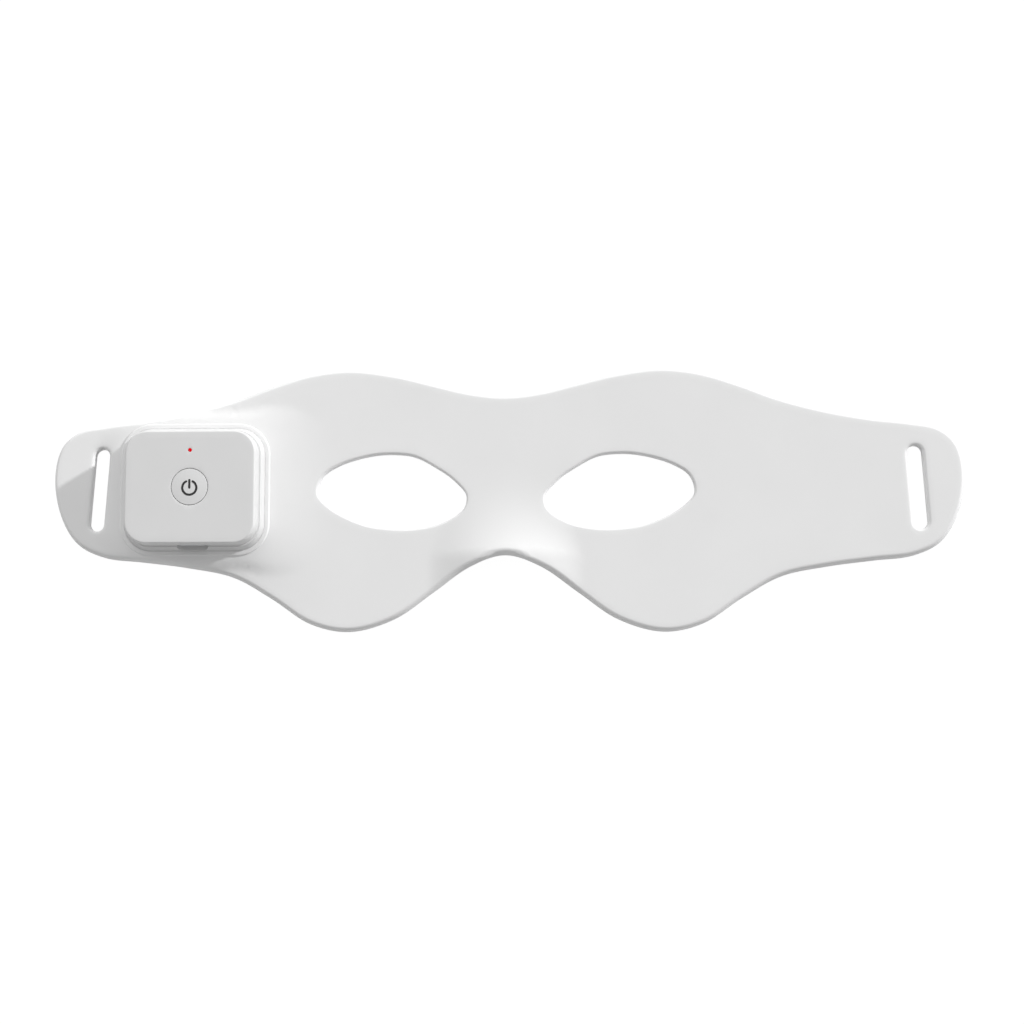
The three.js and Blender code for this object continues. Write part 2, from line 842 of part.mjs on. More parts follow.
function sealRing() {
  const outside = coverSkirtOffset - sealSetback;
  const inside = fitGap / 2;
  const outer = controllerSolid([[outside, seamBottom], [outside, seamTop]]);
  const inner = controllerSolid([[inside, seamBottom - cutOverrun], [inside, seamTop + cutOverrun]]);
  return outer.subtract(inner).subtract(portOpening());
}

function powerButton() {
  return turned([
    [0, buttonFlangeTop - buttonFlangeThickness],
    [buttonFlangeRadius, buttonFlangeTop - buttonFlangeThickness],
    [buttonFlangeRadius, buttonFlangeTop],
    [buttonRadius, buttonFlangeTop],
    [buttonRadius, controllerTop - buttonEdge],
    [buttonRadius - buttonEdge, controllerTop],
    [0, controllerTop],
  ], buttonSides);
}

function switchBody() {
  const half = switchSide / 2;
  const top = boardTop + switchHeight;
  const body = box(-half, half, -half, half, boardTop, top);
  return body.subtract(disc(plungerRadius + fitGap, boardTop + switchFloor, top + cutOverrun));
}

function switchPlunger() {
  const bottom = boardTop + switchFloor + buttonTravel + plungerFloorGap;
  return disc(plungerRadius, bottom, buttonFlangeTop - buttonFlangeThickness - fitGap);
}

function indicatorLens() {
  const bottom = boardTop + indicatorLedHeight + fitGap;
  const flangeBottom = coverCeiling - indicatorFlangeThickness;
  const stem = disc(indicatorRadius, bottom, controllerTop, 0, indicatorY);
  return stem.add(disc(indicatorFlangeRadius, flangeBottom, coverCeiling, 0, indicatorY));
}

// A plain part that stands on the board, such as a chip, centred on its place
function boardPart(x, y, length, width, height) {
  const [halfX, halfY] = [length / 2, width / 2];
  return box(x - halfX, x + halfX, y - halfY, y + halfY, boardTop, boardTop + height);
}

function indicatorLed() {
  return boardPart(0, indicatorY, indicatorLedLength, indicatorLedWidth, indicatorLedHeight);
}

function controlChip() {
  return boardPart(controlChipX, controlChipY, controlChipSide, controlChipSide, controlChipHeight);
}

function chargerChip() {
  return boardPart(chargerChipX, chargerChipY, chargerChipSide, chargerChipSide, chargerChipHeight);
}

function mainBoard() {
  const board = roundedBlock(boardHalfX, boardHalfY, boardCorner, [boardBottom, boardTop], [0, 0]);
  return board.subtract(atScrews(screwHoleRadius, boardBottom - cutOverrun, boardTop + cutOverrun));
}

function driverCoil() {
  const half = coilSide / 2;
  const chamfered = roundedLoop(half, half, coilChamfer, coilX, coilY);
  const level = (height) => ({ points: chamfered, z: () => height });
  return loopSolid([level(boardTop), level(boardTop + coilHeight)]);
}

function capacitor(y) {
  return boardPart(capacitorX, y, capacitorLength, capacitorWidth, capacitorHeight);
}

function boardConnector() {
  const middle = connectorX + circuitThickness / 2;
  const low = boardBottom - connectorHeight;
  const [lowX, highX] = [middle - connectorHalfX, middle + connectorHalfX];
  const body = box(lowX, highX, -connectorHalfY, connectorHalfY, low, boardBottom);
  return body.subtract(riserSlot(low - cutOverrun, boardBottom - connectorRoof));
}

function chargePort() {
  const shell = portBar(portWidth, portHeight, portFrontY, portFrontY + portLength);
  const mouthWidth = portWidth - 2 * portWall;
  const mouthHeight = portHeight - 2 * portWall;
  return shell.subtract(portBar(mouthWidth, mouthHeight, portFrontY - cutOverrun, portBackY));
}

function portTongue() {
  const halfX = portTongueWidth / 2;
  const halfZ = portTongueHeight / 2;
  return box(-halfX, halfX, portBackY - portTongueLength, portBackY, portZ - halfZ, portZ + halfZ);
}

function batteryCell() {
  const low = floorTop + padThickness;
  const high = low + batteryThickness;
  const heights = [low, low + batteryEdge, high - batteryEdge, high];
  const insets = [batteryEdge, 0, 0, batteryEdge];
  return roundedBlock(batteryHalfX, batteryHalfY, batteryCorner, heights, insets, batteryY);
}

function batteryPad() {
  const halfX = batteryHalfX - padInset;
  const halfY = batteryHalfY - padInset;
  return box(-halfX, halfX, batteryY - halfY, batteryY + halfY, floorTop, floorTop + padThickness);
}

function batteryLead(x) {
  const startY = batteryY - batteryHalfY - fitGap;
  const startZ = floorTop + padThickness + batteryThickness - batteryEdge - 2 * leadRadius;
  const endZ = boardBottom - fitGap;
  const path = new THREE.CatmullRomCurve3([
    new THREE.Vector3(x, startY, startZ),
    new THREE.Vector3(x, startY - leadBend / 2, startZ),
    new THREE.Vector3(x, startY - leadBend, startZ + leadBend),
    new THREE.Vector3(x, startY - leadBend, endZ - leadBend / 2),
    new THREE.Vector3(x, startY - leadBend, endZ),
  ]);
  const section = new THREE.Shape();
  section.absarc(0, 0, leadRadius, 0, Math.PI * 2);
  const settings = { steps: endSamples, extrudePath: path, curveSegments: endSamples / 2 };
  return solidOf(new THREE.ExtrudeGeometry(section, settings));
}

function caseScrew([signX, signY]) {
  const x = signX * screwX;
  const y = signY * screwY;
  const headTop = baseBottom + counterboreDepth;
  const shank = disc(screwRadius, headTop, coverCeiling - screwTipGap, x, y);
  return shank.add(disc(screwHeadRadius, headTop - screwHeadHeight, headTop, x, y));
}

// Points and places that several pieces share
const columns = outlineColumns();
const lamps = lampPlaces();

const silicone = 0xe6e6e6;
const controllerShell = 0xd8d8d8;

const mask = new THREE.Group();
mask.add(
  part('front_skin', frontSkin(), silicone, 0.55),
  part('face_liner', faceLiner(), 0xe9e6e2, 0.5),
  part('led_circuit', ledCircuit(), 0xc8893b, 0.45),
  ...lampParts(),
);

const controller = new THREE.Group();
controller.position.set(controllerX, controllerY, 0);
controller.add(
  part('controller_base', controllerBase(), controllerShell, 0.5),
  part('controller_cover', controllerCover(), controllerShell, 0.45),
  part('seal_ring', sealRing(), 0xb9b9b9, 0.7),
  part('power_button', powerButton(), controllerShell, 0.45),
  part('switch_body', switchBody(), 0x2b2b2d, 0.5),
  part('switch_plunger', switchPlunger(), 0x5b4632, 0.5),
  part('indicator_lens', indicatorLens(), 0xe00016, 0.25),
  part('indicator_led', indicatorLed(), 0xfff2e0, 0.3),
  part('main_board', mainBoard(), 0x1f5a3a, 0.5),
  part('control_chip', controlChip(), 0x1c1c1e, 0.6),
  part('charger_chip', chargerChip(), 0x1c1c1e, 0.6),
  part('driver_coil', driverCoil(), 0x4a4a4d, 0.6),
  part('input_capacitor', capacitor(inputCapacitorY), 0xb9a07a, 0.5),
  part('output_capacitor', capacitor(outputCapacitorY), 0xb9a07a, 0.5),
  part('board_connector', boardConnector(), 0xe7e2d6, 0.5),
  part('charge_port', chargePort(), 0xb9bcc0, 0.3, 0.9),
  part('port_tongue', portTongue(), 0x202022, 0.5),
  part('battery_cell', batteryCell(), 0xaeb4ba, 0.4, 0.5),
  part('battery_pad', batteryPad(), 0x303234, 0.9),
  part('battery_lead_red', batteryLead(batteryHalfX - redLeadInset), 0xb3201c, 0.5),
  part('battery_lead_black', batteryLead(batteryHalfX - blackLeadInset), 0x1b1b1c, 0.5),
  ...cornerSigns.map((signs, i) => part(`case_screw_${i + 1}`, caseScrew(signs), 0x9a9ca0, 0.35, 0.9)),
);
mask.add(controller);

export default mask;
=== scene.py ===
import json
import math

import bmesh
import bpy
from mathutils import Matrix, Vector
from mathutils.geometry import interpolate_bezier


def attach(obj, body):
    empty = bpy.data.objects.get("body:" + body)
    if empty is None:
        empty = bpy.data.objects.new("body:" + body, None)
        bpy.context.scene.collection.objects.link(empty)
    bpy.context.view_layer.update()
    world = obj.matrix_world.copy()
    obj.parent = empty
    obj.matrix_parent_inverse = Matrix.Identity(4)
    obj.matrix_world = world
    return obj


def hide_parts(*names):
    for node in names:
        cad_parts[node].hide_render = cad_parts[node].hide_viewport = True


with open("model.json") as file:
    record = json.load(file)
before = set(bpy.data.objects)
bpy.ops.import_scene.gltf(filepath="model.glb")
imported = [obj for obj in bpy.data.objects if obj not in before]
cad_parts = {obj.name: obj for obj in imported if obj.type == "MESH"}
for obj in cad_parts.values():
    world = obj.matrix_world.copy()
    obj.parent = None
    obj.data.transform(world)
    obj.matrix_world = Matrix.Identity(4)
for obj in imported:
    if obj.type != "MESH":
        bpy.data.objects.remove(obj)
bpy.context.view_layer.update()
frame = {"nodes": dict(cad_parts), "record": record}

millimetre = 0.001
weldDistance = 0.001  # in millimetres, as all shapes are until finishPiece
sharpAngle = 32
bodyOf = {node: body for body, nodes in frame["record"]["behaviour"]["bodies"].items() for node in nodes}
print("frame loaded:", len(frame["nodes"]), "nodes")


# helpers for loops, sweeps and fills, all in millimetres

def outwardOf(points):
    # unit normals of a loop that runs anticlockwise, seen from the front
    count = len(points)
    normals = []
    for i in range(count):
        along = (points[(i + 1) % count] - points[i - 1]).normalized()
        normals.append(Vector((along.y, -along.x, 0)))
    return normals


def smoothLoop(knots, step):
    # closed centripetal curve through the knots, one Bezier for each span
    count = len(knots)
    knots = [Vector((x, y, 0)) for x, y in knots]
    points = []
    for i in range(count):
        before, start, end, after = (knots[(i + k - 1) % count] for k in range(4))
        spans = ((before, start), (start, end), (end, after))
        first, middle, last = ((b - a).length ** 0.5 for a, b in spans)
        leave = (start - before) / first - (end - before) / (first + middle) + (end - start) / middle
        arrive = (end - start) / middle - (after - start) / (middle + last) + (after - end) / last
        handles = start + leave * middle / 3, end - arrive * middle / 3
        parts = max(2, round((end - start).length / step))
        points += interpolate_bezier(start, *handles, end, parts + 1)[:-1]
    return {"points": points, "normals": outwardOf(points)}


def cornerLoop(halfX, halfY, corner, centre=(0, 0), cornerParts=14, sideStep=1.6, shortestSide=0.01):
    # rounded rectangle with exact normals, and points along its straight sides
    points, normals = [], []
    signs = ((1, 1), (-1, 1), (-1, -1), (1, -1))
    middles = [Vector((centre[0] + signX * (halfX - corner), centre[1] + signY * (halfY - corner), 0))
               for signX, signY in signs]
    for turn, middle in enumerate(middles):
        for step in range(cornerParts + 1):
            angle = (turn + step / cornerParts) * math.pi / 2
            normal = Vector((math.cos(angle), math.sin(angle), 0))
            points.append(middle + normal * corner)
            normals.append(normal)
        start, target = points[-1], middles[(turn + 1) % 4] + normal * corner
        length = (target - start).length
        if length < shortestSide:  # no straight side here, as at the ends of a slot
            points.pop()
            normals.pop()
        parts = int(length / sideStep)
        for part in range(1, parts):
            points.append(start.lerp(target, part / parts))
            normals.append(normal)
    return {"points": points, "normals": normals}


def circleLoop(radius, centre, parts):
    return cornerLoop(radius, radius, radius, centre, parts // 4)


def strokeLoop(path, halfWidth, endParts=8):
    # outline of a stroke with round ends that follows the path
    ahead = [path[min(i + 1, len(path) - 1)] - path[max(i - 1, 0)] for i in range(len(path))]
    sides = [Vector((along.y, -along.x, 0)).normalized() for along in ahead]
    points, normals = [], []
    for line, sign in ((list(zip(path, sides)), 1), (list(zip(path, sides))[::-1], -1)):
        for point, side in line:
            points.append(point + side * sign * halfWidth)
            normals.append(side * sign)
        middle, side = line[-1]
        for step in range(1, endParts):
            normal = Matrix.Rotation(step / endParts * math.pi, 3, "Z") @ (side * sign)
            points.append(middle + normal * halfWidth)
            normals.append(normal)
    return {"points": points, "normals": normals}


def clippedLoop(loop, inset, halfLength):
    # the loop moved inwards, with straight ends
    inner = [p - n * inset for p, n in zip(loop["points"], loop["normals"])]
    kept = []
    for i, point in enumerate(inner):
        following = inner[(i + 1) % len(inner)]
        if abs(point.x) < halfLength:
            kept.append(point)
        if (abs(point.x) < halfLength) != (abs(following.x) < halfLength):
            limit = math.copysign(halfLength, point.x)
            kept.append(point.lerp(following, (limit - point.x) / (following.x - point.x)))
    return {"points": kept, "normals": outwardOf(kept)}


def sweep(bm, loop, profile):
    # a ring at each (offset, height) of the profile, each extruded from the one before
    place = bm.verts.layers.int.get("place") or bm.verts.layers.int.new("place")
    offset, height = profile[0]
    verts = []
    for i, (point, normal) in enumerate(zip(loop["points"], loop["normals"])):
        vert = bm.verts.new((point.x + normal.x * offset, point.y + normal.y * offset, height))
        vert[place] = i
        verts.append(vert)
    ring = [bm.edges.new((verts[i - 1], verts[i])) for i in range(len(verts))]
    rings = [ring]
    for offset, height in profile[1:]:
        ring = extrudeRing(bm, ring, loop, offset, height)
        rings.append(ring)
    return rings


def extrudeRing(bm, ring, loop, offset, height):
    place = bm.verts.layers.int.get("place")
    made = bmesh.ops.extrude_edge_only(bm, edges=ring)["geom"]
    verts = {g for g in made if isinstance(g, bmesh.types.BMVert)}
    for vert in verts:
        point, normal = loop["points"][vert[place]], loop["normals"][vert[place]]
        vert.co = (point.x + normal.x * offset, point.y + normal.y * offset, height)
    return [g for g in made if isinstance(g, bmesh.types.BMEdge) and set(g.verts) <= verts]


def quarter(radius, offset, height, turn, parts):
    # quarter round as (offset, height) pairs; turn says how it runs from its start
    pairs = []
    for step in range(parts + 1):
        angle = step / parts * math.pi / 2
        s, c = math.sin(angle), math.cos(angle)
        pairs.append({
            "upAndIn": (offset - radius * (1 - c), height + radius * s),
            "downAndIn": (offset - radius * s, height - radius * (1 - c)),
            "outAndUp": (offset + radius * s, height + radius * (1 - c)),
            "outAndDown": (offset + radius * s, height - radius * (1 - c)),
            "inAndUnder": (offset - radius * (1 - c), height - radius * s),
        }[turn])
    return pairs


# the longest inner edge that each round leaves, in cells
evenRounds = {"longest": (6, 3, 1.6, 1.45, 1.4), "eases": 3, "easeShare": 0.5}


def evenTriangles(bm, cell):
    # splits long inner edges, flips the diagonals and eases the inner vertices, until the cells are even
    for longest in evenRounds["longest"]:
        inner = [e for e in bm.edges if len(e.link_faces) == 2 and e.calc_length() > cell * longest]
        if inner:
            bmesh.ops.subdivide_edges(bm, edges=inner, cuts=1)
        bmesh.ops.triangulate(bm, faces=bm.faces[:])
        for ease in range(evenRounds["eases"]):
            diagonals = [e for e in bm.edges if len(e.link_faces) == 2]
            bmesh.ops.beautify_fill(bm, faces=bm.faces[:], edges=diagonals)
            loose = [v for v in bm.verts if not v.is_boundary]
            bmesh.ops.smooth_vert(bm, verts=loose, factor=evenRounds["easeShare"], use_axis_x=True,
                                  use_axis_y=True)


def fillBetween(bm, rings, cell):
    # flat face bounded by the rings, in even triangles, added to bm
    flat = bmesh.new()
    for ring in rings:
        known = {}
        for edge in ring:
            ends = []
            for vert in edge.verts:
                if vert not in known:
                    known[vert] = flat.verts.new(vert.co)
                ends.append(known[vert])
            flat.edges.new(ends)
    bmesh.ops.triangle_fill(flat, use_beauty=True, use_dissolve=False, edges=flat.edges[:],
                            normal=(0, 0, 1))
    evenTriangles(flat, cell)
    addTo(bm, flat)


def cap(bm, *rings):
    for ring in rings:
        bmesh.ops.edgeloop_fill(bm, edges=ring)


def addTo(bm, other):
    carrier = bpy.data.meshes.new("carrier")
    other.to_mesh(carrier)
    other.free()
    bm.from_mesh(carrier)
    bpy.data.meshes.remove(carrier)


def close(bm):
    # the faces are sorted too, because extruding leaves them in another order on each run
    bmesh.ops.remove_doubles(bm, verts=bm.verts[:], dist=weldDistance)
    placed = sorted(bm.faces, key=lambda face: (*face.calc_center_median(), face.calc_area()))
    rank = {face: i for i, face in enumerate(placed)}
    bm.faces.sort(key=lambda face: rank[face])
    bmesh.ops.recalc_face_normals(bm, faces=bm.faces[:])


def finishPiece(name, bm, body, material, replaces=()):
    close(bm)
    openEdges = sum(1 for e in bm.edges if len(e.link_faces) != 2)
    bmesh.ops.scale(bm, vec=(millimetre,) * 3, verts=bm.verts[:])
    mesh = bpy.data.meshes.new(name)
    bm.to_mesh(mesh)
    bm.free()
    mesh.shade_smooth()
    mesh.set_sharp_from_angle(angle=math.radians(sharpAngle))
    mesh.materials.append(material)
    piece = bpy.data.objects.new(name, mesh)
    bpy.context.scene.collection.objects.link(piece)
    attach(piece, body)
    if replaces:
        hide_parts(*replaces)
    print(name, len(mesh.polygons), "faces,", openEdges, "open edges")


def combine(bm, other, operation):
    # cuts the other shape from bm, or joins it on, with an applied Boolean modifier
    close(bm)
    close(other)
    meshes, objects = [], []
    for shape in (bm, other):
        mesh = bpy.data.meshes.new("combining")
        shape.to_mesh(mesh)
        thing = bpy.data.objects.new("combining", mesh)
        bpy.context.scene.collection.objects.link(thing)
        meshes.append(mesh)
        objects.append(thing)
    modifier = objects[0].modifiers.new("combine", "BOOLEAN")
    modifier.operation = operation
    modifier.solver = "EXACT"
    modifier.object = objects[1]
    evaluated = objects[0].evaluated_get(bpy.context.evaluated_depsgraph_get())
    result = bpy.data.meshes.new_from_object(evaluated)
    bm.clear()
    bm.from_mesh(result)
    for thing in objects:
        bpy.data.objects.remove(thing)
    for mesh in meshes + [result]:
        bpy.data.meshes.remove(mesh)
    other.free()


# finishes

surface = {"rampStart": 0.3, "rampEnd": 0.7, "cloudDetail": 3, "glossDetail": 2, "grainDetail": 2,
           "glossScale": 3, "glossSpread": 0.05}


def finish(name, look):
    # moulded surface: two close tones, uneven gloss and a fine bump, all on Object coordinates
    material = bpy.data.materials.new(name)
    material.use_nodes = True
    nodes, links = material.node_tree.nodes, material.node_tree.links
    shader = nodes["Principled BSDF"]
    shader.inputs["Metallic"].default_value = look.get("metallic", 0)
    shader.inputs["Specular IOR Level"].default_value = look.get("specular", 0.5)
    shader.inputs["Transmission Weight"].default_value = look.get("transmission", 0)
    shader.inputs["Emission Color"].default_value = (*look.get("glow", (0, 0, 0)), 1)
    shader.inputs["Emission Strength"].default_value = look.get("glowStrength", 0)
    coordinates = nodes.new("ShaderNodeTexCoord")

    def noise(scale, detail):
        texture = nodes.new("ShaderNodeTexNoise")
        texture.inputs["Scale"].default_value = scale
        texture.inputs["Detail"].default_value = detail
        links.new(coordinates.outputs["Object"], texture.inputs["Vector"])
        return texture.outputs["Fac"]

    tones = nodes.new("ShaderNodeValToRGB")
    tones.color_ramp.elements[0].position = surface["rampStart"]
    tones.color_ramp.elements[1].position = surface["rampEnd"]
    tones.color_ramp.elements[0].color = (*look["dark"], 1)
    tones.color_ramp.elements[1].color = (*look["light"], 1)
    links.new(noise(look["cloudScale"], surface["cloudDetail"]), tones.inputs["Fac"])
    links.new(tones.outputs["Color"], shader.inputs["Base Color"])

    gloss = nodes.new("ShaderNodeMapRange")
    gloss.inputs["To Min"].default_value = look["roughness"] - surface["glossSpread"]
    gloss.inputs["To Max"].default_value = look["roughness"] + surface["glossSpread"]
    patches = noise(look["cloudScale"] * surface["glossScale"], surface["glossDetail"])
    links.new(patches, gloss.inputs["Value"])
    links.new(gloss.outputs["Result"], shader.inputs["Roughness"])

    bump = nodes.new("ShaderNodeBump")
    bump.inputs["Strength"].default_value = look["bump"]
    bump.inputs["Distance"].default_value = look["bumpDepth"]
    links.new(noise(look["grainScale"], surface["grainDetail"]), bump.inputs["Height"])
    links.new(bump.outputs["Normal"], shader.inputs["Normal"])
    return material


def grey(value):
    return (value, value, value)


siliconeLook = {"dark": grey(0.775), "light": grey(0.795), "cloudScale": 40, "roughness": 0.55,
                "grainScale": 3500, "bump": 0.12, "bumpDepth": 0.00003, "specular": 0.3}
linerLook = {"dark": (0.74, 0.735, 0.72), "light": (0.78, 0.775, 0.765), "cloudScale": 60, "roughness": 0.5,
             "grainScale": 2600, "bump": 0.15, "bumpDepth": 0.00003, "transmission": 0.35, "specular": 0.4}
shellLook = {"dark": grey(0.665), "light": grey(0.68), "cloudScale": 60, "roughness": 0.42,
             "grainScale": 6000, "bump": 0.15, "bumpDepth": 0.00002, "specular": 0.35}
inkLook = {"dark": grey(0.004), "light": grey(0.008), "cloudScale": 900, "roughness": 0.5,
           "grainScale": 9000, "bump": 0.1, "bumpDepth": 0.00001}
indicatorLook = {"dark": (0.68, 0, 0.004), "light": (0.78, 0, 0.008), "cloudScale": 1500,
                 "roughness": 0.35, "grainScale": 5000, "bump": 0.05, "bumpDepth": 0.00001,
                 "specular": 0.1, "glow": (1, 0, 0.01), "glowStrength": 0.06}
sealLook = {"dark": grey(0.6), "light": grey(0.64), "cloudScale": 120, "roughness": 0.7,
            "grainScale": 4000, "bump": 0.2, "bumpDepth": 0.00003}
steelLook = {"dark": (0.5, 0.51, 0.53), "light": (0.58, 0.59, 0.6), "cloudScale": 300, "roughness": 0.3,
             "grainScale": 2500, "bump": 0.08, "bumpDepth": 0.00001, "metallic": 1}

silicone = finish("white_silicone", siliconeLook)
linerSilicone = finish("liner_silicone", linerLook)
shell = finish("controller_shell", shellLook)
ink = finish("black_print", inkLook)
redLens = finish("indicator_red", indicatorLook)
sealRubber = finish("seal_rubber", sealLook)
portSteel = finish("port_steel", steelLook)

hiddenLooks = {  # CAD nodes that stay as they are, with the finish of each
    "led_circuit": {"dark": (0.5, 0.27, 0.07), "light": (0.6, 0.35, 0.11), "cloudScale": 250,
                    "roughness": 0.42, "grainScale": 1800, "bump": 0.1, "bumpDepth": 0.00002},
    "red_led": {"dark": (0.82, 0.7, 0.48), "light": (0.9, 0.8, 0.6), "cloudScale": 900,
                "roughness": 0.3, "grainScale": 3000, "bump": 0.05, "bumpDepth": 0.00001},
    "infrared_led": {"dark": (0.045, 0.02, 0.05), "light": (0.08, 0.04, 0.08), "cloudScale": 900,
                     "roughness": 0.25, "grainScale": 3000, "bump": 0.05, "bumpDepth": 0.00001},
    "black": {"dark": grey(0.022), "light": grey(0.035), "cloudScale": 500, "roughness": 0.5,
              "grainScale": 5000, "bump": 0.15, "bumpDepth": 0.00001},
    "brown": {"dark": (0.1, 0.055, 0.03), "light": (0.14, 0.08, 0.045), "cloudScale": 500,
              "roughness": 0.45, "grainScale": 4000, "bump": 0.1, "bumpDepth": 0.00001},
    "board": {"dark": (0.012, 0.13, 0.055), "light": (0.025, 0.18, 0.08), "cloudScale": 350,
              "roughness": 0.4, "grainScale": 2500, "bump": 0.15, "bumpDepth": 0.00002},
    "ferrite": {"dark": (0.08, 0.08, 0.085), "light": (0.12, 0.12, 0.13), "cloudScale": 900,
                "roughness": 0.65, "grainScale": 4500, "bump": 0.25, "bumpDepth": 0.00002},
    "ceramic": {"dark": (0.4, 0.3, 0.18), "light": (0.48, 0.38, 0.25), "cloudScale": 900,
                "roughness": 0.5, "grainScale": 4500, "bump": 0.15, "bumpDepth": 0.00001},
    "cream": {"dark": (0.7, 0.66, 0.58), "light": (0.77, 0.74, 0.67), "cloudScale": 400,
              "roughness": 0.5, "grainScale": 3500, "bump": 0.1, "bumpDepth": 0.00001},
    "foil": {"dark": (0.5, 0.52, 0.54), "light": (0.62, 0.64, 0.66), "cloudScale": 250,
             "roughness": 0.38, "grainScale": 900, "bump": 0.35, "bumpDepth": 0.00004, "metallic": 1},
    "foam": {"dark": grey(0.03), "light": grey(0.05), "cloudScale": 900, "roughness": 0.85,
             "grainScale": 2500, "bump": 0.6, "bumpDepth": 0.00006},
    "redLead": {"dark": (0.42, 0.015, 0.01), "light": (0.52, 0.025, 0.018), "cloudScale": 400,
                "roughness": 0.45, "grainScale": 2500, "bump": 0.1, "bumpDepth": 0.00001},
    "steel": steelLook,
}
finishOf = {
    "led_circuit": "led_circuit", "switch_body": "black", "switch_plunger": "brown",
    "indicator_led": "red_led", "main_board": "board", "control_chip": "black", "charger_chip": "black",
    "driver_coil": "ferrite", "input_capacitor": "ceramic", "output_capacitor": "ceramic",
    "board_connector": "cream", "port_tongue": "black", "battery_cell": "foil", "battery_pad": "foam",
    "battery_lead_red": "redLead", "battery_lead_black": "black",
}
for node in frame["nodes"]:
    if node.startswith(("red_led_", "infrared_led_")):
        finishOf[node] = node.rsplit("_", 1)[0]
    if node.startswith("case_screw_"):
        finishOf[node] = "steel"
madeFinishes = {key: finish("hidden_" + key, look) for key, look in hiddenLooks.items()}
for node, key in finishOf.items():
    mesh = frame["nodes"][node].data
    mesh.materials.clear()
    mesh.materials.append(madeFinishes[key])
print("finishes made")


# the silicone sheet and everything moulded with it

sheet = {"halfLength": 139.8, "halfHeight": 40.55, "thickness": 3.6, "frontRound": 1.1, "backRound": 1,
         "draft": 0.45, "frontParts": 8, "backParts": 4, "step": 1.5, "cell": 1.5}
outlineShares = (  # shares of the half length and half height, from the nose to the wing: x, top, bottom
    (0, 0.794, -0.431), (0.078, 0.822, -0.515), (0.157, 0.887, -0.701), (0.243, 0.958, -0.904),
    (0.342, 1, -1), (0.428, 0.966, -0.941), (0.514, 0.875, -0.75), (0.599, 0.766, -0.588),
    (0.699, 0.674, -0.515), (0.799, 0.6115, -0.4706), (0.884, 0.578, -0.435), (0.945, 0.534, -0.333),
    (0.984, 0.417, -0.1225))
wingTipShare = 0.184
nose = {"height": 4.4, "footHalfWidth": 24, "topHalfWidth": 14, "widthTopY": 18, "climbTopY": 14,
        "climbPower": 2.8, "acrossPower": 2, "crownPower": 2, "frontShare": 0.82}
eyes = {"centre": (34.8, 2.45), "half": (23.6, 12.3), "rimRound": 0.75, "rimParts": 8, "backRound": 0.4,
        "wall": 2.5, "step": 0.9}
eyeShares = (  # shares of the opening's half sizes, anticlockwise from the end away from the nose
    (1, -0.064), (0.936, 0.416), (0.708, 0.72), (0.305, 0.952), (-0.004, 1), (-0.3, 0.928), (-0.61, 0.616),
    (-0.8, 0.36), (-0.987, -0.044), (-1, -0.272), (-0.949, -0.52), (-0.716, -0.816), (-0.3, -0.996),
    (0.123, -0.976), (0.417, -0.856), (0.822, -0.464))
slots = {"centre": (125.3, 3.2), "length": 25.6, "width": 4.7, "lean": 4, "endParts": 10,
         "rimRound": 1, "rimParts": 6, "backRound": 0.5, "backParts": 5}
recess = {"rim": 3, "depth": 2, "halfLength": 118.5, "pocketMargin": 0.12, "cell": 3}
controller = {"centre": (-95.35, 3), "half": (19.3, 16.6), "corner": 6.1, "top": 13.6}
fairing = {"height": 1.3, "sideReach": 3.9, "tipReach": 9, "wingReach": 19}
plinth = {"offset": 3.8, "footGap": 0.02, "top": 5.4, "round": 0.5, "roundParts": 6, "window": 2.34,
          "pocket": 3.4, "pocketTop": 3.4, "innerEdge": 0.04}

outlineKnots = [(1, wingTipShare)]
outlineKnots += [(x, top) for x, top, bottom in outlineShares[:0:-1]]
outlineKnots += [(-x, top) for x, top, bottom in outlineShares]
outlineKnots += [(-1, wingTipShare)]
outlineKnots += [(-x, bottom) for x, top, bottom in outlineShares[:0:-1]]
outlineKnots += [(x, bottom) for x, top, bottom in outlineShares]
outlineKnots = [(x * sheet["halfLength"], y * sheet["halfHeight"]) for x, y in outlineKnots]
outline = smoothLoop(outlineKnots, sheet["step"])


def eyeLoop(side):
    knots = [(side * (eyes["centre"][0] + x * eyes["half"][0]), eyes["centre"][1] + y * eyes["half"][1])
             for x, y in eyeShares]
    return smoothLoop(knots if side > 0 else knots[::-1], eyes["step"])


def slotLoop(side):
    halfWidth = slots["width"] / 2
    loop = cornerLoop(halfWidth, slots["length"] / 2, halfWidth, (0, 0), slots["endParts"])
    turn = Matrix.Rotation(math.radians(side * slots["lean"]), 4, "Z")
    middle = Vector((side * slots["centre"][0], slots["centre"][1], 0))
    points = [middle + turn @ point for point in loop["points"]]
    return {"points": points, "normals": [turn @ normal for normal in loop["normals"]]}


eyeLoops = [eyeLoop(1), eyeLoop(-1)]
slotLoops = [slotLoop(1), slotLoop(-1)]
faceLoop = cornerLoop(*controller["half"], controller["corner"], controller["centre"])
notchY = outlineShares[0][2] * sheet["halfHeight"]


def clamped(value):
    return min(max(value, 0), 1)


def noseRise(x, y):
    climb = clamped((nose["climbTopY"] - y) / (nose["climbTopY"] - notchY))
    widening = clamped((nose["widthTopY"] - y) / (nose["widthTopY"] - notchY))
    halfWidth = nose["topHalfWidth"] + (nose["footHalfWidth"] - nose["topHalfWidth"]) * widening
    across = min(abs(x) / halfWidth, 1)
    crown = (1 - across ** nose["acrossPower"]) ** nose["crownPower"]
    return nose["height"] * climb ** nose["climbPower"] * crown


def noseSlope(x, y, step=0.1):
    alongX = noseRise(x + step, y) - noseRise(x - step, y)
    alongY = noseRise(x, y + step) - noseRise(x, y - step)
    return alongX / (2 * step), alongY / (2 * step)


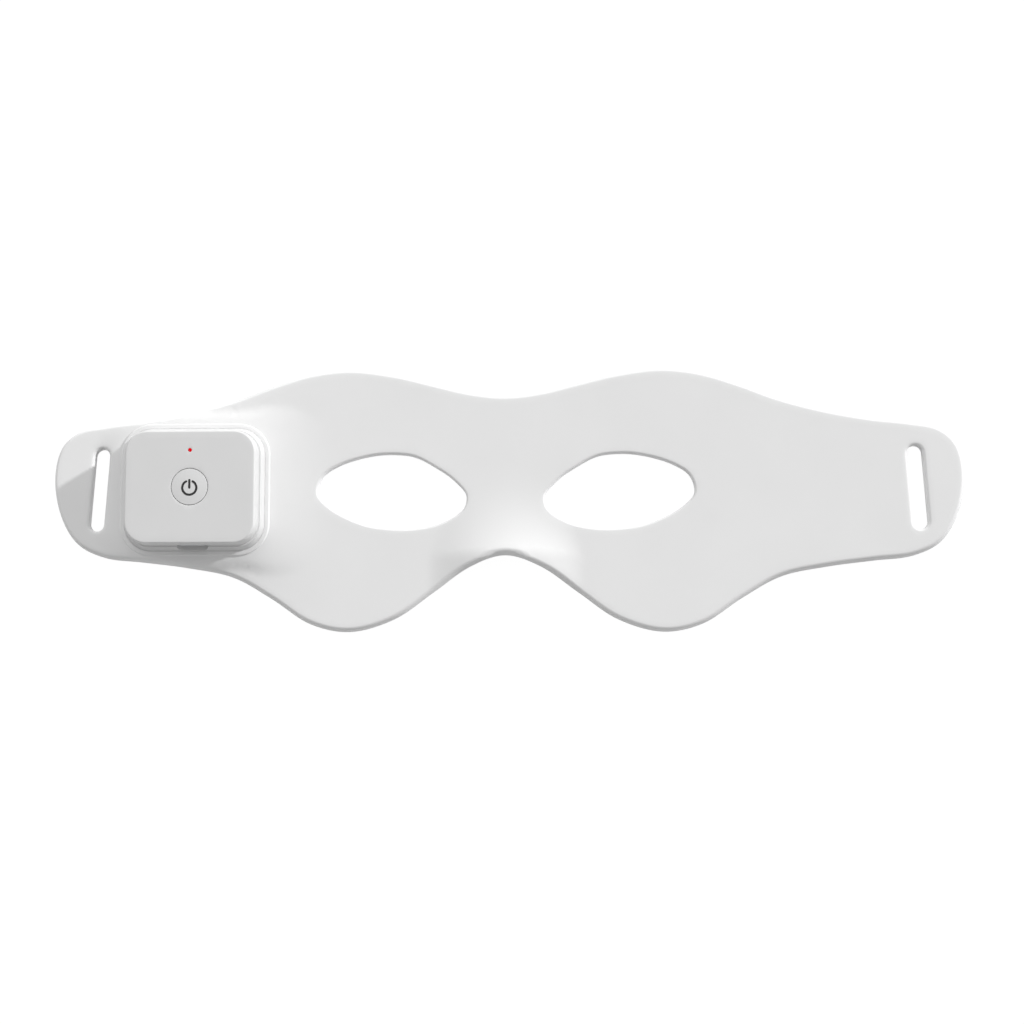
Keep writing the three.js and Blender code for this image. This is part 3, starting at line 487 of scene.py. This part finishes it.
def pastCorners(x, y):
    # how far a place lies past the rectangle through the middles of the controller's corners
    fromX, fromY = x - controller["centre"][0], y - controller["centre"][1]
    pastX = max(abs(fromX) - (controller["half"][0] - controller["corner"]), 0)
    pastY = max(abs(fromY) - (controller["half"][1] - controller["corner"]), 0)
    return math.copysign(pastX, fromX), math.copysign(pastY, fromY)


def clearOfPocket(point, margin):
    # keeps the recess and the liner in it outside the pocket, which comes near the mask's long edges
    pastX, pastY = pastCorners(point.x, point.y)
    away = math.hypot(pastX, pastY)
    least = controller["corner"] + plinth["pocket"] + margin
    growth = least / away - 1 if 0 < away < least else 0
    return Vector((point.x + pastX * growth, point.y + pastY * growth, 0))


def fairingRise(x, y):
    radius = controller["corner"] + plinth["offset"]
    pastX, pastY = pastCorners(x, y)
    away = math.hypot(pastX, pastY)
    if away <= radius:
        return fairing["height"]
    # hollow towards the eye, an even slope towards the tip, and a droop towards both long edges
    eye, tip = (max(pastX, 0) / away) ** 2, (min(pastX, 0) / away) ** 2
    side = (pastY / away) ** 2
    reach = eye * fairing["wingReach"] + tip * fairing["tipReach"] + side * fairing["sideReach"]
    share = clamped((away - radius) / reach)
    hollow, droop = (1 - share) ** 2, 1 - share ** 2
    even = 1 - share ** 2 * (3 - 2 * share)
    return fairing["height"] * (eye * hollow + tip * even + side * droop)


def bend(bm, hasFairing):
    # lifts the flat sheet over the nose, leans its rim there, and lifts its front up to the controller
    depth = sheet["thickness"] - sheet["backRound"]
    for vert in bm.verts:
        x, y, z = vert.co
        share = clamped((z - sheet["backRound"]) / depth)
        bridge = noseRise(x, y) * (1 - share * (1 - nose["frontShare"]))
        vert.co.z = z + bridge + (share * fairingRise(x, y) if hasFairing else 0)
        if hasFairing:
            slopeX, slopeY = noseSlope(x, y)
            vert.co.x = x - share * depth * slopeX
            vert.co.y = y - share * depth * slopeY


def makeFrontSkin():
    thickness, back = sheet["thickness"], sheet["backRound"]
    skin = bmesh.new()
    edge = [(-back, 0)] + quarter(back, -back, 0, "outAndUp", sheet["backParts"])[1:]
    wallTop = thickness - sheet["frontRound"]
    edge += quarter(sheet["frontRound"], -sheet["draft"], wallTop, "upAndIn", sheet["frontParts"])
    outer = sweep(skin, outline, edge)

    throat = -eyes["rimRound"]
    rim = quarter(eyes["rimRound"], 0, thickness, "downAndIn", eyes["rimParts"])
    rim += [(throat, eyes["backRound"]), (throat + eyes["backRound"], 0), (eyes["wall"], 0)]
    eyeRings = [sweep(skin, loop, rim) for loop in eyeLoops]

    slotRings = [sweep(skin, loop, slotProfile()) for loop in slotLoops]
    foot = sweep(skin, faceLoop, [(plinth["offset"] + plinth["footGap"], thickness)])[0]
    topRings = [outer[-1], foot] + [rings[0] for rings in eyeRings + slotRings]
    fillBetween(skin, topRings, sheet["cell"])

    recessLoop = clippedLoop(outline, recess["rim"], recess["halfLength"])
    recessLoop["points"] = [clearOfPocket(point, recess["pocketMargin"]) for point in recessLoop["points"]]
    hollow = bmesh.new()
    hollowRings = sweep(hollow, recessLoop, [(0, 0), (0, recess["depth"])])
    eyeWall = [(eyes["wall"], 0), (eyes["wall"], recess["depth"])]
    wallRings = [sweep(hollow, loop, eyeWall) for loop in eyeLoops]
    pocket = sweep(hollow, faceLoop, [(plinth["pocket"], recess["depth"])])[0]
    fillBetween(skin, [outer[0], hollowRings[0]] + [rings[-1] for rings in slotRings], sheet["cell"])
    fillBetween(hollow, [hollowRings[-1], pocket] + [rings[-1] for rings in wallRings], recess["cell"])

    bend(skin, True)
    bend(hollow, False)
    ring = foot
    for offset, height in plinthProfile():
        ring = extrudeRing(skin, ring, faceLoop, offset, height)
    addTo(skin, hollow)
    finishPiece("front_skin_moulded", skin, bodyOf["front_skin"], silicone,
                ["front_skin"])


def slotProfile():
    # over the rounded rim into the slot, and out again at the back
    radius, backRadius, top = slots["rimRound"], slots["backRound"], sheet["thickness"]
    front = quarter(radius, radius, top, "downAndIn", slots["rimParts"])
    back = quarter(backRadius, backRadius, top, "downAndIn", slots["backParts"])
    return front + [(offset, top - height) for offset, height in back[::-1]]


def plinthProfile():
    # foot, rounded outer edge, flat top, window wall and the pocket that the flange sits in
    offset, top, radius = plinth["offset"], plinth["top"], plinth["round"]
    pairs = quarter(radius, offset, top - radius, "upAndIn", plinth["roundParts"])
    edge = plinth["innerEdge"]
    pairs += [(plinth["window"] + edge, top), (plinth["window"], top - edge)]
    pairs += [(plinth["window"], plinth["pocketTop"])]
    pairs += [(plinth["pocket"], plinth["pocketTop"]), (plinth["pocket"], recess["depth"])]
    return pairs


makeFrontSkin()


# the sheet that lies against the face, with a blind well for each lamp
liner = {"gap": 0.12, "bottom": 0.2, "top": 1.5, "edge": 0.25, "edgeParts": 3, "faceCell": 2, "backCell": 3,
         "wellGrowth": 1.3, "wellFloor": 0.55, "wellOverrun": 1}


def makeLiner():
    gap, top, bottom = liner["gap"], liner["top"], liner["bottom"]
    edge = quarter(liner["edge"], 0, bottom + liner["edge"], "inAndUnder", liner["edgeParts"])[::-1]
    outside = clippedLoop(outline, recess["rim"] + gap, recess["halfLength"] - gap)
    margin = recess["pocketMargin"] - gap
    outside["points"] = [clearOfPocket(point, margin) for point in outside["points"]]
    sheetShape = bmesh.new()
    rings = sweep(sheetShape, outside, edge + [(0, top)])
    wall = eyes["wall"] + gap
    eyeEdge = [(wall - offset, height) for offset, height in edge]
    eyeRings = [sweep(sheetShape, loop, eyeEdge + [(wall, top)]) for loop in eyeLoops]
    fillBetween(sheetShape, [rings[0]] + [ring[0] for ring in eyeRings], liner["faceCell"])
    fillBetween(sheetShape, [rings[-1]] + [ring[-1] for ring in eyeRings], liner["backCell"])
    bend(sheetShape, False)
    wells = bmesh.new()
    for node in frame["nodes"]:
        if "_led_" in node:
            addTo(wells, grownLamp(frame["nodes"][node].data))
    combine(sheetShape, wells, "DIFFERENCE")
    finishPiece("face_liner_moulded", sheetShape, bodyOf["face_liner"], linerSilicone,
                ["face_liner"])


def grownLamp(mesh):
    # a lamp's own shape, made larger all round, as the cutter of its well
    lamp = bmesh.new()
    lamp.from_mesh(mesh)
    bmesh.ops.remove_doubles(lamp, verts=lamp.verts[:], dist=weldDistance * millimetre)
    bmesh.ops.scale(lamp, vec=(1 / millimetre,) * 3, verts=lamp.verts[:])
    middle = sum((v.co for v in lamp.verts), Vector()) / len(lamp.verts)
    growth = liner["wellGrowth"]
    fromMiddle = Matrix.Translation(-middle)
    bmesh.ops.scale(lamp, vec=(growth, growth, 1), space=fromMiddle, verts=lamp.verts[:])
    wellTop = liner["top"] + liner["wellOverrun"]
    for vert in lamp.verts:
        vert.co.z = liner["wellFloor"] if vert.co.z < middle.z else wellTop
    return lamp


makeLiner()


# the controller's two shells, the seal between them and the charge port
case = {"innerWall": -1, "topThickness": 1.4, "tongue": -0.3, "tongueBottom": 6.9, "skirt": 0.8,
        "seamTop": 7.8, "edge": 0.12, "edgeParts": 4, "fillet": 0.55, "filletParts": 8, "seamBottom": 7.5,
        "rim": 1.35, "wall": 2.3, "wallTop": 5.4, "flange": 3.1, "flangeTop": 3.1, "bottom": 2,
        "floorTop": 3.2, "sealInner": 0.15, "sealOuter": 0.78, "overrun": 1, "topCell": 2.5,
        "ceilingCell": 5}
posts = {"place": (14.6, 11.9), "radius": 2.3, "hole": 1.1, "counterbore": 1.9, "counterboreTop": 3.4,
         "baseTop": 9.25, "coverBottom": 10.05, "sunk": 0.3, "parts": 32}
port = {"width": 9, "height": 3.2, "middle": 7.65, "gap": 0.3, "wall": 0.3, "lip": 0.1, "back": 0.4,
        "front": 17.2, "length": 7.3, "endParts": 10}
riser = {"x": 15.1, "half": (0.4, 2.5), "corner": 0.05, "cornerParts": 2}
button = {"radius": 5.5, "gap": 0.15, "edge": 0.12, "edgeParts": 5, "flangeRadius": 6.8,
          "flangeTop": 11.9, "flange": 0.35, "parts": 96}
indicator = {"y": 11.2, "radius": 0.55, "gap": 0.05, "holeEdge": 0.05, "flangeRadius": 1, "flange": 0.5,
             "bottom": 10.95, "edge": 0.08, "edgeParts": 4, "parts": 32}
symbol = {"middleDrop": 0.3, "radius": 2.15, "stroke": 0.67, "opening": 27, "barTop": 2.65,
          "thickness": 0.02, "parts": 40}


def atController(x, y):
    return (controller["centre"][0] + x, controller["centre"][1] + y)


def portBar(growth, near, far):
    # rounded bar along the port's axis, between two distances in front of the controller's middle
    bar = bmesh.new()
    halfX, halfZ = port["width"] / 2 + growth, port["height"] / 2 + growth
    section = cornerLoop(halfX, halfZ, halfZ, (0, 0), port["endParts"])
    cap(bar, *sweep(bar, section, [(0, near), (0, far)]))
    return layForward(bar)


def layForward(bar):
    # lays down what stands upright, so that it points out through the port's mouth
    bmesh.ops.rotate(bar, cent=(0, 0, 0), matrix=Matrix.Rotation(math.pi / 2, 3, "X"), verts=bar.verts[:])
    bmesh.ops.translate(bar, vec=(*controller["centre"], port["middle"]), verts=bar.verts[:])
    return bar


def portCutter():
    return portBar(port["gap"], port["front"] - port["length"], controller["half"][1] + case["flange"])


def atScrews(radius, profile):
    # the profile turned round each screw; one that doesn't come back to its start gets flat ends
    shape = bmesh.new()
    reachX, reachY = posts["place"]
    for x in (reachX, -reachX):
        for y in (reachY, -reachY):
            rings = sweep(shape, circleLoop(radius, atController(x, y), posts["parts"]), profile)
            if profile[0] != profile[-1]:
                cap(shape, rings[0], rings[-1])
    return shape


def bossProfile():
    # wide at the foot for the screw's head, narrow above it
    hole, top = posts["hole"], posts["baseTop"]
    wide, wall = posts["counterbore"] - hole, posts["radius"] - hole
    foot, step = case["floorTop"] - posts["sunk"], posts["counterboreTop"]
    return [(0, step), (wide, step), (wide, foot), (wall, foot), (wall, top), (0, top), (0, step)]


def makeCover():
    cover = bmesh.new()
    top, edge, fillet = controller["top"], case["edge"], case["fillet"]
    ceiling = top - case["topThickness"]
    profile = [(case["innerWall"], ceiling), (case["innerWall"], case["tongueBottom"]),
               (case["tongue"], case["tongueBottom"]), (case["tongue"], case["seamTop"])]
    profile += quarter(edge, case["skirt"] - edge, case["seamTop"], "outAndUp", case["edgeParts"])
    profile += quarter(fillet, fillet, top - fillet, "upAndIn", case["filletParts"])
    rings = sweep(cover, faceLoop, profile)
    holeRings = []
    for part, middle, soft in ((button, controller["centre"], button["edge"]),
                               (indicator, atController(0, indicator["y"]), indicator["holeEdge"])):
        loop = circleLoop(part["radius"] + part["gap"], middle, part["parts"])
        bore = quarter(soft, soft, top, "downAndIn", case["edgeParts"]) + [(0, ceiling)]
        holeRings.append(sweep(cover, loop, bore))
    fillBetween(cover, [rings[-1]] + [ring[0] for ring in holeRings], case["topCell"])
    fillBetween(cover, [rings[0]] + [ring[-1] for ring in holeRings], case["ceilingCell"])
    combine(cover, portCutter(), "DIFFERENCE")
    hole, wall = posts["hole"], posts["radius"] - posts["hole"]
    low, high = posts["coverBottom"], ceiling + posts["sunk"]
    combine(cover, atScrews(hole, [(0, low), (wall, low), (wall, high), (0, high), (0, low)]), "UNION")
    finishPiece("controller_cover_moulded", cover, bodyOf["controller_cover"], shell,
                ["controller_cover"])


def makeBase():
    base = bmesh.new()
    edge = case["edge"]
    profile = [(0, case["floorTop"]), (0, case["seamBottom"])]
    profile += quarter(edge, case["rim"] - edge, case["seamBottom"], "outAndDown", case["edgeParts"])
    profile += [(case["wall"], case["wallTop"]), (case["wall"], case["flangeTop"]),
                (case["flange"], case["flangeTop"]), (case["flange"], case["bottom"])]
    rings = sweep(base, faceLoop, profile)
    cap(base, rings[0], rings[-1])
    low, high = case["bottom"] - case["overrun"], case["floorTop"] + case["overrun"]
    holes = portCutter()
    addTo(holes, atScrews(posts["counterbore"], [(0, low), (0, high)]))
    riserHole = cornerLoop(*riser["half"], riser["corner"], atController(riser["x"], 0),
                           riser["cornerParts"])
    cap(holes, *sweep(holes, riserHole, [(0, low), (0, high)]))
    combine(base, holes, "DIFFERENCE")
    combine(base, atScrews(posts["hole"], bossProfile()), "UNION")
    finishPiece("controller_base_moulded", base, bodyOf["controller_base"], shell,
                ["controller_base"])


def makeSeal():
    seal = bmesh.new()
    low, high, inner, outer = case["seamBottom"], case["seamTop"], case["sealInner"], case["sealOuter"]
    sweep(seal, faceLoop, [(inner, low), (outer, low), (outer, high), (inner, high), (inner, low)])
    combine(seal, portCutter(), "DIFFERENCE")
    finishPiece("seal_ring_moulded", seal, bodyOf["seal_ring"], sealRubber, ["seal_ring"])


def makePort():
    shellShape = bmesh.new()
    wall, lip, front = port["wall"], port["lip"], port["front"]
    back = front - port["length"]
    profile = [(-wall, back + port["back"]), (-wall, front - lip), (lip - wall, front), (-lip, front),
               (0, front - lip), (0, back)]
    halfX, halfZ = port["width"] / 2, port["height"] / 2
    rings = sweep(shellShape, cornerLoop(halfX, halfZ, halfZ, (0, 0), port["endParts"]), profile)
    cap(shellShape, rings[0], rings[-1])
    layForward(shellShape)
    finishPiece("charge_port_shell", shellShape, bodyOf["charge_port"], portSteel,
                ["charge_port"])


def makeButton():
    shape = bmesh.new()
    radius, edge, top = button["radius"], button["edge"], controller["top"]
    reach = button["flangeRadius"] - radius
    profile = [(reach, button["flangeTop"] - button["flange"]), (reach, button["flangeTop"]),
               (0, button["flangeTop"])]
    profile += quarter(edge, 0, top - edge, "upAndIn", button["edgeParts"])
    rings = sweep(shape, circleLoop(radius, controller["centre"], button["parts"]), profile)
    cap(shape, rings[0], rings[-1])
    finishPiece("power_button_moulded", shape, bodyOf["power_button"], shell,
                ["power_button"])


def makeSymbol():
    # an open ring and a bar, printed on the button
    shape = bmesh.new()
    middle = Vector((*atController(0, -symbol["middleDrop"]), 0))
    opening, parts = math.radians(symbol["opening"]), symbol["parts"]
    turns = [math.pi / 2 + opening + i / parts * (math.tau - 2 * opening) for i in range(parts + 1)]
    ring = [middle + symbol["radius"] * Vector((math.cos(turn), math.sin(turn), 0)) for turn in turns]
    bar = [middle, middle + Vector((0, symbol["barTop"] - symbol["stroke"] / 2, 0))]
    for path in (ring, bar):
        stroke = strokeLoop(path, symbol["stroke"] / 2)
        low = controller["top"] + symbol["thickness"] / 2
        cap(shape, *sweep(shape, stroke, [(0, low), (0, low + symbol["thickness"])]))
    finishPiece("power_symbol", shape, bodyOf["power_button"], ink)


def makeIndicator():
    lens = bmesh.new()
    radius, top = indicator["radius"], controller["top"]
    ceiling = top - case["topThickness"]
    flangeBottom = ceiling - indicator["flange"]
    reach = indicator["flangeRadius"] - radius
    profile = [(0, indicator["bottom"]), (0, flangeBottom), (reach, flangeBottom), (reach, ceiling),
               (0, ceiling)]
    edge = indicator["edge"]
    profile += quarter(edge, 0, top - edge, "upAndIn", indicator["edgeParts"])
    rings = sweep(lens, circleLoop(radius, atController(0, indicator["y"]), indicator["parts"]), profile)
    cap(lens, rings[0], rings[-1])
    finishPiece("indicator_lens_moulded", lens, bodyOf["indicator_lens"], redLens,
                ["indicator_lens"])


makeBase()
makeCover()
makeSeal()
makePort()
makeButton()
makeSymbol()
makeIndicator()
print("controller made")


# camera, floor and light

view = {"position": (0.023946, -0.062884, 0.596215), "lookAt": (0.001845, -0.003717, 0),
        "focalPixels": 1951, "imagePixels": 1024, "sensorWidth": 36, "nearest": 0.01}
camera = bpy.data.cameras.new("camera")
camera.sensor_width = view["sensorWidth"]
camera.lens = view["focalPixels"] / view["imagePixels"] * camera.sensor_width
camera.clip_start = view["nearest"]
cameraObject = bpy.data.objects.new("camera", camera)
bpy.context.scene.collection.objects.link(cameraObject)
cameraObject.location = view["position"]
forward = (Vector(view["lookAt"]) - Vector(view["position"])).normalized()
right = forward.cross(Vector((0, 1, 0))).normalized()
up = right.cross(forward)
cameraObject.rotation_euler = Matrix((right, up, -forward)).transposed().to_euler()
bpy.context.scene.camera = cameraObject

studio = {"forehead": 1.38, "chin": 0.52, "tip": 0.5, "above": 0.315, "sunStrength": 2.7, "sunAzimuth": 30,
          "sunElevation": 18.5, "sunAngle": 3, "floorHalf": 3, "floorDrop": 0.00005, "floorTone": 0.8,
          "floorGlow": 1.08, "floorGlowShare": 0.9}
skySides = (  # direction of each soft light, the cosine to it where it starts to show, its strength
    ((0, 1, 0), 0, "forehead"), ((0.5, -0.866, 0), 0.3, "chin"),
    ((-0.8, 0.6, 0), 0, "tip"), ((0, 0, 1), 0, "above"))


def cameraSwitch(nodes, links):
    # 1 for camera, glossy and transmission rays, 0 for the rays that light the object
    path = nodes.new("ShaderNodeLightPath")
    either = nodes.new("ShaderNodeMath")
    either.operation = "MAXIMUM"
    links.new(path.outputs["Is Camera Ray"], either.inputs[0])
    links.new(path.outputs["Is Glossy Ray"], either.inputs[1])
    every = nodes.new("ShaderNodeMath")
    every.operation = "MAXIMUM"
    links.new(either.outputs[0], every.inputs[0])
    links.new(path.outputs["Is Transmission Ray"], every.inputs[1])
    return every.outputs[0]


world = bpy.data.worlds.new("studio")
bpy.context.scene.world = world
world.use_nodes = True
nodes, links = world.node_tree.nodes, world.node_tree.links
nodes["Background"].inputs["Color"].default_value = (1, 1, 1, 1)
direction = nodes.new("ShaderNodeTexCoord")
sky = None
for side, start, strength in skySides:  # strongest straight from its side
    facing = nodes.new("ShaderNodeVectorMath")
    facing.operation = "DOT_PRODUCT"
    facing.inputs[1].default_value = side
    links.new(direction.outputs["Generated"], facing.inputs[0])
    lobe = nodes.new("ShaderNodeMapRange")
    lobe.inputs["From Min"].default_value = start
    lobe.inputs["To Max"].default_value = studio[strength]
    links.new(facing.outputs["Value"], lobe.inputs["Value"])
    added = nodes.new("ShaderNodeMath")
    added.inputs[1].default_value = 0
    links.new(lobe.outputs["Result"], added.inputs[0])
    if sky:
        links.new(sky, added.inputs[1])
    sky = added.outputs[0]
links.new(sky, nodes["Background"].inputs["Strength"])
seen = nodes.new("ShaderNodeBackground")
seen.inputs["Color"].default_value = (1, 1, 1, 1)
seen.inputs["Strength"].default_value = 1
mix = nodes.new("ShaderNodeMixShader")
links.new(cameraSwitch(nodes, links), mix.inputs["Fac"])
links.new(nodes["Background"].outputs["Background"], mix.inputs[1])
links.new(seen.outputs["Background"], mix.inputs[2])
links.new(mix.outputs["Shader"], nodes["World Output"].inputs["Surface"])

floorMesh = bpy.data.meshes.new("floor")
floorShape = bmesh.new()
bmesh.ops.create_grid(floorShape, x_segments=1, y_segments=1, size=studio["floorHalf"])
bmesh.ops.translate(floorShape, verts=floorShape.verts[:], vec=(0, 0, -studio["floorDrop"]))
floorShape.to_mesh(floorMesh)
floorShape.free()
floor = bpy.data.objects.new("floor", floorMesh)
bpy.context.scene.collection.objects.link(floor)
paper = bpy.data.materials.new("floor_paper")
paper.use_nodes = True
nodes, links = paper.node_tree.nodes, paper.node_tree.links
nodes.remove(nodes["Principled BSDF"])
matt = nodes.new("ShaderNodeBsdfDiffuse")
matt.inputs["Color"].default_value = (*grey(studio["floorTone"]), 1)
glow = nodes.new("ShaderNodeEmission")
glow.inputs["Strength"].default_value = studio["floorGlow"]
share = nodes.new("ShaderNodeMath")
share.operation = "MULTIPLY"
share.inputs[1].default_value = studio["floorGlowShare"]
links.new(cameraSwitch(nodes, links), share.inputs[0])
mix = nodes.new("ShaderNodeMixShader")
links.new(share.outputs[0], mix.inputs["Fac"])
links.new(matt.outputs["BSDF"], mix.inputs[1])
links.new(glow.outputs["Emission"], mix.inputs[2])
links.new(mix.outputs["Shader"], nodes["Material Output"].inputs["Surface"])
floorMesh.materials.append(paper)

sun = bpy.data.lights.new("key", "SUN")
sun.energy = studio["sunStrength"]
sun.angle = math.radians(studio["sunAngle"])
sunObject = bpy.data.objects.new("key", sun)
bpy.context.scene.collection.objects.link(sunObject)
azimuth, elevation = math.radians(studio["sunAzimuth"]), math.radians(studio["sunElevation"])
level = math.cos(elevation)
towards = Vector((level * math.cos(azimuth), level * math.sin(azimuth), math.sin(elevation)))
sunObject.rotation_euler = towards.to_track_quat("Z", "Y").to_euler()

bpy.context.scene.view_settings.view_transform = "Standard"

print("scene ready")
